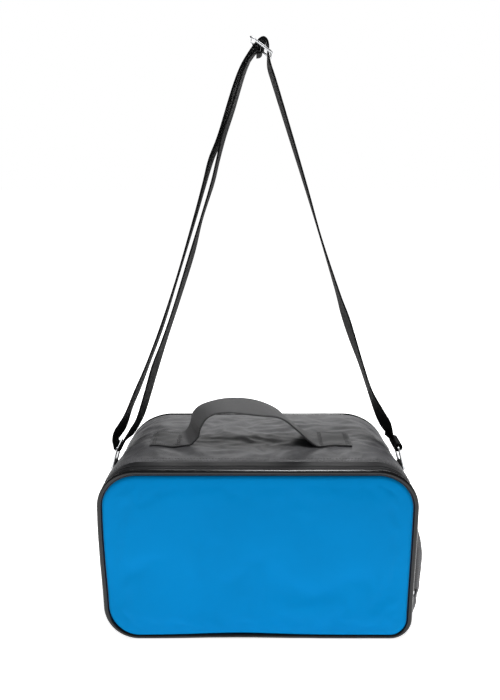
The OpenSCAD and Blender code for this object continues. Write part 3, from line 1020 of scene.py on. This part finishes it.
class COOLERBAG_OT_inside(CoolerBagOperator, bpy.types.Operator):
    """Lay the foam, the wipe-clean lining and the binding tape over its seams"""

    bl_idname = "coolerbag.inside"
    bl_label = "Foam, lining and binding"

    def execute(self, context):
        foam = polyethylene_foam(self.colours.foam)
        film = peva_film(self.colours.lining)
        bind = polypropylene_webbing("binding_tape", linear("#85898D"), 1.3, 0.1)
        fabric = 1.2 * MM
        depth = FOAM_INSET - fabric

        def wall_y(s, v, clear):
            front = HEM_Y + 0.6 * MM if MOUTH_RIGHT < s % 1.0 < MOUTH_LEFT else -FOAM_Y
            return FOAM_Y + (front - FOAM_Y) * v - clear * (1 - 2 * v)

        def foam_at(s, v):
            point, _ = rim(s, fabric + 1.6 * MM)
            point.y = wall_y(s, v, 0.1 * MM)
            return soften(point)

        bm = ring_band(0.0, 1.0, 300, 24, foam_at, closed=True)
        walls = add_piece("foam_walls", bm, foam, "foam", depth - 1.8 * MM, edge=0.6 * MM)
        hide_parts("foam_top", "foam_left", "foam_right", "foam_bottom")
        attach(walls, "bag")

        def lining_at(s, v):
            lip = ramp(v, 0.93, 1.0) if MOUTH_RIGHT < s % 1.0 < MOUTH_LEFT else 0.0
            point, out = rim(s, LINING_INSET - (LINING_INSET - 1.6 * MM) * lip)
            side = side_bulge(out, HEM_Y, point.z, self.sizes.bulge_right, self.sizes.bulge_left)
            point += out * lip * side
            crinkle = noise.noise(Vector((point.x * 60, v * 6, point.z * 60))) * 0.8 * MM
            point -= out * (0.4 * MM + abs(crinkle)) * (1 - lip)
            point.y = wall_y(s, v, 0.3 * MM) - 0.9 * MM * lip
            return soften(point)

        bm = ring_band(0.0, 1.0, 300, 60, lining_at, closed=True)
        bmesh.ops.reverse_faces(bm, faces=bm.faces)
        liner = add_piece("lining_walls", bm, film, "lining", 0.4 * MM)
        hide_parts("lining_body")
        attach(liner, "bag")

        def slab(name, inset, y, back, material, slot, thickness, quilt):
            def face(x, z):
                edge = depth_inside(x, z, inset)
                spot = noise.noise(Vector((x * 45, y * 50, z * 45)))
                return y + quilt * spot * ramp(edge, 0.0, 0.01)

            bm = panel_bm(inset, face, back, 72, 52)
            for vert in bm.verts:
                vert.co = soften(vert.co)
            rounding = 0.3 * MM if thickness > 1.0 * MM else 0.0
            return add_piece(name, bm, material, slot, thickness, edge=rounding)

        rear_foam = slab(
            "foam_rear", 6.4 * MM, FOAM_Y + 0.2 * MM, False, foam, "foam", depth - 0.6 * MM, 0.0
        )
        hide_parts("foam_back")
        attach(rear_foam, "bag")
        front_foam = slab(
            "foam_front", 8.4 * MM, -FOAM_Y - 0.2 * MM, True, foam, "foam", depth - 1.2 * MM, 0.0
        )
        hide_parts("foam_door", "foam_front_lower")
        bend_at_fold(front_foam)
        rear_film = slab(
            "lining_rear", LINING_INSET, FOAM_Y - 0.4 * MM, False, film, "lining", 0.4 * MM, 0.5 * MM
        )
        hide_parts("lining_back")
        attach(rear_film, "bag")
        front_film = slab(
            "lining_front", DOOR_FILM_INSET, -FOAM_Y + 0.4 * MM, True, film, "lining", 0.4 * MM, 0.5 * MM
        )
        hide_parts("lining_door", "lining_front_lower")
        bend_at_fold(front_film)

        def rear_binding_at(s, v):
            point, _ = rim(s, LINING_INSET + 1.3 * MM)
            point.y = FOAM_Y - 1.0 * MM - 7.0 * MM * v
            return soften(point)

        bm = ring_band(0.0, 1.0, 300, 4, rear_binding_at, closed=True)
        bmesh.ops.reverse_faces(bm, faces=bm.faces)
        rear_tape = add_piece("binding_rear", bm, bind, "binding", 0.6 * MM, edge=0.2 * MM)
        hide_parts("binding_back")
        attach(rear_tape, "bag")

        above_fold = FOLD[2] + 0.2 * MM
        low, high = rim_at_height(above_fold, True), rim_at_height(above_fold, False)

        def door_binding_at(s, v):
            point, _ = rim(s, DOOR_FILM_INSET + 6.0 * MM * v)
            point.y = -FOAM_Y + 1.0 * MM + 0.5 * MM * math.sin(math.pi * v)
            return soften(point)

        bm = ring_band(low, high, 240, 5, door_binding_at)
        door_tape = add_piece("binding_front", bm, bind, "binding", 0.6 * MM, 1.0, 0.2 * MM)
        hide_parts("binding_door")
        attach(door_tape, "door")
        return {"FINISHED"}


class COOLERBAG_OT_handle(CoolerBagOperator, bpy.types.Operator):
    """Lay the carry handle, one length of webbing with both ends sewn to the top"""

    bl_idname = "coolerbag.handle"
    bl_label = "Carry handle"

    def execute(self, context):
        webbing = polypropylene_webbing("handle_webbing", self.colours.handle, 1.45, 0.5)
        top = HEIGHT + 1.6 * MM
        # front and rear edges of the webbing from the left end to the right end, in millimetres: x, and the
        # rise above the top
        front = [
            (-116, 0), (-95, 0), (-76, 2), (-64.5, 10.5), (-61, 22), (-52, 34.5), (-34, 39),
            (0, 36), (24, 32.5), (41, 19.5), (54, 7.5), (66, 1.5), (84, 0), (100, 0),
        ]
        rear = [
            (-116, 0), (-98, 2), (-81, 4.5), (-75, 13.5), (-71, 27), (-59, 36), (-34, 42),
            (-6, 40.5), (18, 31), (35, 15.5), (50, 5), (66, 2), (84, 1), (100, 0),
        ]
        path = smooth_path([f + r for f, r in zip(front, rear)], 11)
        count = len(path) - 1
        y_front, y_back = (corner.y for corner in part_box("handle_end_left"))
        tree = shell_tree()

        def fabric_top(x, y):
            hit = tree.ray_cast(Vector((x, y, HEIGHT + 0.05)), Vector((0, 0, -1)), 0.1)[0]
            return hit.z if hit else HEIGHT

        def on_top(x, y, z):
            floor = fabric_top(x, y) + 1.25 * MM
            flatness = 1 - ramp(z, 192.0 * MM, 200.0 * MM)
            return z + (max(floor, z - 1.5 * MM) - z) * flatness

        def place(u, v):
            fx, fz, rx, rz = path[round(v * count)]
            x, z = (fx + (rx - fx) * u) * MM, top + (fz + (rz - fz) * u) * MM
            y = y_front + (y_back - y_front) * u
            crown = 0.6 * MM * math.sin(math.pi * u) * ramp(z, 0.200, 0.225)
            return Vector((x, y, on_top(x, y, z) + crown))

        runs = [0.0]
        for i in range(count):
            a, b = path[i], path[i + 1]
            runs.append(runs[-1] + math.hypot(b[0] - a[0], b[1] - a[1]) * MM)

        def flat(u, v):
            return u * (y_back - y_front), runs[round(v * count)]

        bm = cloth_grid(14, count, place, flat)
        piece = add_piece("handle", bm, webbing, "handle_webbing", self.sizes.handle, 0.0, 0.5 * MM)
        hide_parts("handle_loop", "handle_end_left", "handle_end_right")
        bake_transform(piece)

        def over(x, y):
            return Vector((x, y, fabric_top(x, y) + 2.35 * MM))

        seams = []
        # the outer and inner x of each sewn end, in millimetres
        for start, end in ((-113, -84), (97, 66)):
            for y in (y_front + 2.5 * MM, y_back - 2.5 * MM):
                seams.append([over((start + (end - start) * i / 12) * MM, y) for i in range(13)])
            step = math.copysign(1.4, end - start)
            for i in range(3):
                for x in (start + step * i, end - step * i):
                    seams.append([over(x * MM, y_front + (2.0 + j * 2.8) * MM) for j in range(13)])
        sewing = stitches("handle_stitches", seams, 2.4 * MM, self.thread(), "handle_webbing", 0.5 * MM)
        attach(sewing, "bag")
        return {"FINISHED"}


class COOLERBAG_OT_fittings(CoolerBagOperator, bpy.types.Operator):
    """Bend the buckle's wire, and finish the rings, zip slider, pull and stops"""

    bl_idname = "coolerbag.fittings"
    bl_label = "Wire rings, buckle and zip slider"

    def execute(self, context):
        steel = plated_steel(self.colours.metal)
        for node in ("ring_left", "ring_right", "zip_slider", "zip_pull", "zip_stops"):
            piece = frame["nodes"][node]
            piece.data.materials.clear()
            piece.data.materials.append(steel)
        centre = (BUCKLE_LOW + BUCKLE_HIGH) / 2
        half_y = (BUCKLE_HIGH.y - BUCKLE_LOW.y) / 2 - self.sizes.wire
        half_x = (BUCKLE_HIGH.x - BUCKLE_LOW.x) / 2 - self.sizes.wire
        half_z = (BUCKLE_HIGH.z - BUCKLE_LOW.z) / 2 - self.sizes.wire
        slope = Vector((half_x, 0, -half_z))
        long_side = slope.normalized()
        corner = 4.0 * MM
        path = []
        for sx, sy, start in ((1, 1, 0), (-1, 1, 90), (-1, -1, 180), (1, -1, 270)):
            for i in range(9):
                turn = math.radians(start + 90 * i / 8)
                along = sx * (slope.length - corner) + corner * math.cos(turn)
                aside = sy * (half_y - corner) + corner * math.sin(turn)
                path.append(centre + long_side * along + Vector((0, aside, 0)))
        dense = []
        for a, b in zip(path, path[1:] + path[:1]):
            pieces = max(1, round((b - a).length / (2.5 * MM)))
            dense += [a.lerp(b, i / pieces) for i in range(pieces)]
        loop = tube("buckle_frame", dense, self.sizes.wire, 12, steel, "steel", closed=True)
        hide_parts("strap_buckle")
        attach(loop, "buckle")
        bar = [centre + Vector((0, half_y * (i / 6 - 1), 0)) for i in range(13)]
        middle_bar = tube("buckle_bar", bar, self.sizes.wire, 12, steel, "steel")
        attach(middle_bar, "buckle")
        return {"FINISHED"}


class COOLERBAG_OT_tabs(CoolerBagOperator, bpy.types.Operator):
    """Fold a webbing tab round each ring and sew it to the side"""

    bl_idname = "coolerbag.tabs"
    bl_label = "Ring tabs"

    def execute(self, context):
        strap = polypropylene_webbing("strap_webbing", self.colours.strap, 1.5, 0.06)
        tree = shell_tree()
        width = self.sizes.strap_width - 2.5 * MM
        wire_r = self.sizes.wire
        bar = Vector((RING_HIGH.x - wire_r, 0, RING_LOW.z + wire_r))
        for side, node in ((1, "ring_tab_right"), (-1, "ring_tab_left")):
            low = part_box(node)[0]

            def outside(z):
                hit = tree.ray_cast(Vector((side * 0.3, STRAP_Y, z)), Vector((-side, 0, 0)), 0.3)[0]
                return (abs(hit.x) if hit else HALF_W) + 0.5 * MM

            heights = [low.z + (bar.z - 4 * MM - low.z) * i / 9 for i in range(10)]
            path = [(outside(z), z, 0.0) for z in heights]
            around = wire_r + 0.55 * MM
            for i in range(9):
                turn = math.radians(190 - 200 * i / 8)
                path.append((bar.x + around * math.cos(turn), bar.z + around * math.sin(turn), 0.0))
            path += [(outside(z) + 1.0 * MM, z, 0.0) for z in reversed(heights)]
            path = [(side * x, z, 0.0) for x, z, _ in smooth_path(path, 3)]
            name = "tab_right" if side > 0 else "tab_left"
            piece = ribbon(name, path, width, 0.9 * MM, strap, "webbing", 0.25 * MM)
            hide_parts(node)
            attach(piece, "bag")

            def on_tab(y, z):
                return side * (outside(z) + 1.55 * MM), STRAP_Y + y * MM, z

            # a box of stitches with a cross in it, in rows 8.5 mm each side of the middle
            sewn = heights[:8]
            seams = [[on_tab(y, z) for z in sewn] for y in (-8.5, 8.5)]
            for order in (sewn, sewn[::-1]):
                seams.append([on_tab(-8.5 + 17 * i / 7, z) for i, z in enumerate(order)])
            for z in (sewn[0], sewn[-1]):
                seams.append([on_tab(y, z) for y in (-8.5, 0, 8.5)])
            sewing = stitches(name + "_stitches", seams, 2.2 * MM, self.thread(), "webbing", 0.3 * MM)
            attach(sewing, "bag")
        return {"FINISHED"}


class COOLERBAG_OT_strap(CoolerBagOperator, bpy.types.Operator):
    """Thread the shoulder strap through both rings and the three-bar buckle"""

    bl_idname = "coolerbag.strap"
    bl_label = "Shoulder strap"

    def execute(self, context):
        webbing = bpy.data.materials["strap_webbing"]
        width, thick = self.sizes.strap_width, self.sizes.strap
        bar_x, bar_z = RING_LOW.x + self.sizes.wire, RING_HIGH.z - self.sizes.wire
        # radius, in millimetres, of the strap's loops round the rings
        around = 4.1

        def loop_round(side, start, end, count):
            """Points round the ring's upper bar, in millimetres."""
            out = []
            for i in range(count):
                turn = math.radians(start + (end - start) * i / (count - 1))
                out.append((
                    side * bar_x / MM + around * math.cos(turn), bar_z / MM + around * math.sin(turn), 0.0
                ))
            return out

        def strand(name, points, steps=10):
            path = [(x * MM, z * MM, twist) for x, z, twist in smooth_path(points, steps)]
            return ribbon(name, path, width, thick, webbing, "webbing")

        # each strand's points from end to end: x and z in millimetres, and the twist in degrees
        right = [
            (8.6, 583, 0), (10, 573, -4), (15.5, 557, -5), (33, 505, -3), (49, 457, 0), (64.5, 409, 3),
            (84, 352, -3), (93, 326, -11), (102, 300, -10), (112, 273, -5), (122, 246, -5), (133, 222, -17),
            (140.5, 207, -24), (146, 194, -14), (152.4, 185, 0),
        ]
        right += loop_round(1, 130, -190, 12)
        right += [(151.4, 186.5, 0), (147, 192, -8), (143.2, 198, -18)]
        piece = strand("strap_right_strand", right)
        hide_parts("strap_right", "strap_end_right")
        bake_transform(piece)

        outer = [
            (-9.6, 584, 0), (-17, 571, 3), (-25, 551, 4), (-38.5, 509, 6), (-48, 486, 6), (-55, 463, 3),
            (-66, 427, 1), (-86, 365, -1), (-104, 313, 3), (-120, 273, 4), (-132, 245, 8), (-143, 220, 8),
            (-149, 207, 15), (-154, 197, 21), (-157.6, 188.5, 14),
        ]
        outer += loop_round(-1, 170, 370, 9)
        outer += [
            (-150.3, 182.5, -6), (-145, 188, -14), (-138, 199, -15), (-130, 214, -12), (-120.4, 243, -12),
        ]
        piece = strand("strap_left_strand", outer)
        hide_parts("strap_left", "strap_end_left")
        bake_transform(piece)

        back = [
            (-120.4, 243, -12), (-111, 273, -13), (-101, 300, -8), (-87, 339, -6), (-70, 390, -7),
            (-59, 427, -1), (-47, 463, -3), (-41, 486, -3), (-35, 509, -6), (-26, 534, -5), (-15, 567, -3),
            (-8.6, 580.5, 0),
        ]
        piece = strand("strap_return_strand", back)
        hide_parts("strap_return")
        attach(piece, "strap")
        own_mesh(piece)

        fold = [
            (-9.6, 584, 0), (-7, 587.6, 0), (-4.2, 591, 0), (-1.2, 594.2, 0), (1.6, 596.4, 0), (4.6, 597, 0),
            (7.4, 594.6, 0), (8.6, 590, 0), (8.6, 583, 0),
        ]
        piece = strand("strap_fold_over", fold)
        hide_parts("strap_fold")
        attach(piece, "strap")

        centre = (BUCKLE_LOW + BUCKLE_HIGH) / 2 / MM
        wrap = [(-8.6, 580.2, 0), (-6.2, 583.4, 0), (-3.2, 586.8, 0)]
        for i in range(13):
            turn = math.radians(215 - 300 * i / 12)
            wrap.append((centre.x + 2.4 * math.cos(turn), centre.z + 2.4 * math.sin(turn), 0.0))
        wrap += [(2.4, 585.4, 0), (0.4, 583.6, 0), (-2.6, 583.2, 0)]
        piece = strand("strap_buckle_loop", wrap, 3)
        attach(piece, "buckle")
        return {"FINISHED"}


class COOLERBAG_OT_stage(CoolerBagOperator, bpy.types.Operator):
    """Set the plain floor, the soft lights and the camera"""

    bl_idname = "coolerbag.stage"
    bl_label = "Stage"

    def execute(self, context):
        bm = bmesh.new()
        bmesh.ops.create_grid(bm, x_segments=8, y_segments=8, size=40.0)
        for vert in bm.verts:
            vert.co.z = -0.0004
        floor = add_piece("floor", bm, stage_paper(), "")
        del floor["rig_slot"]

        def area_light(name, place, target, size, power, colour):
            data = bpy.data.lights.new(name, "AREA")
            data.shape = "RECTANGLE"
            data.size, data.size_y = size
            data.energy = power
            data.color = linear(colour)[:3]
            lamp = bpy.data.objects.new(name, data)
            lamp.location = place
            lamp.rotation_euler = (Vector(target) - Vector(place)).to_track_quat("-Z", "Y").to_euler()
            context.scene.collection.objects.link(lamp)

        area_light("softbox_top", (0.12, 0.02, 1.35), (0, 0, 0.1), (0.5, 0.35), 19, "#FFFFFF")
        area_light("softbox_rear", (0.15, 1.5, 0.82), (0, 0, 0.2), (1.5, 0.5), 9, "#FFFFFF")
        area_light("softbox_left", (-0.75, -0.95, 0.12), (-0.1, 0, 0.05), (0.6, 0.5), 2.2, "#FDFEFF")
        world = bpy.data.worlds.new("studio")
        world.use_nodes = True
        tree = world.node_tree
        tree.nodes.clear()
        rays = add_node(tree, "LightPath")
        shade_of_room = two_tone(tree, rays.outputs["Is Camera Ray"], linear("#7C7C7C"), linear("#FFFFFF"))
        room = add_node(tree, "Background", {"Color": shade_of_room})
        sky_output = add_node(tree, "OutputWorld")
        tree.links.new(room.outputs[0], sky_output.inputs["Surface"])
        context.scene.world = world
        context.scene.view_settings.view_transform = "Standard"

        data = bpy.data.cameras.new("camera")
        data.lens = 32.91
        data.sensor_width = 36.0
        camera = bpy.data.objects.new("camera", data)
        camera.location = (-0.0088, -0.661, 0.464)
        camera.rotation_euler = (math.radians(75.35), 0, 0)
        context.scene.collection.objects.link(camera)
        context.scene.camera = camera
        return {"FINISHED"}


STEPS = (
    COOLERBAG_OT_gusset,
    COOLERBAG_OT_panels,
    COOLERBAG_OT_piping,
    COOLERBAG_OT_zip,
    COOLERBAG_OT_inside,
    COOLERBAG_OT_handle,
    COOLERBAG_OT_fittings,
    COOLERBAG_OT_tabs,
    COOLERBAG_OT_strap,
    COOLERBAG_OT_stage,
)


class COOLERBAG_PT_panel(bpy.types.Panel):
    """Lists the bag's pieces, sizes and colours"""

    bl_idname = "COOLERBAG_PT_panel"
    bl_label = "Cooler Bag"
    bl_space_type = "VIEW_3D"
    bl_region_type = "UI"
    bl_category = "Cooler Bag"

    def draw(self, context):
        for group in (context.scene.cooler_bag_sizes, context.scene.cooler_bag_colours):
            box = self.layout.box()
            for name in group.bl_rna.properties.keys():
                if name not in ("rna_type", "name"):
                    box.prop(group, name)
        for step in STEPS:
            self.layout.operator(step.bl_idname)


CLASSES = (CoolerBagSizes, CoolerBagColours) + STEPS + (COOLERBAG_PT_panel,)


def register():
    for cls in CLASSES:
        bpy.utils.register_class(cls)
    bpy.types.Scene.cooler_bag_sizes = bpy.props.PointerProperty(type=CoolerBagSizes)
    bpy.types.Scene.cooler_bag_colours = bpy.props.PointerProperty(type=CoolerBagColours)


def unregister():
    del bpy.types.Scene.cooler_bag_colours
    del bpy.types.Scene.cooler_bag_sizes
    for cls in reversed(CLASSES):
        bpy.utils.unregister_class(cls)


def main():
    register()
    for step in STEPS:
        family, name = step.bl_idname.split(".")
        getattr(getattr(bpy.ops, family), name)()


if __name__ == "__main__":
    main()
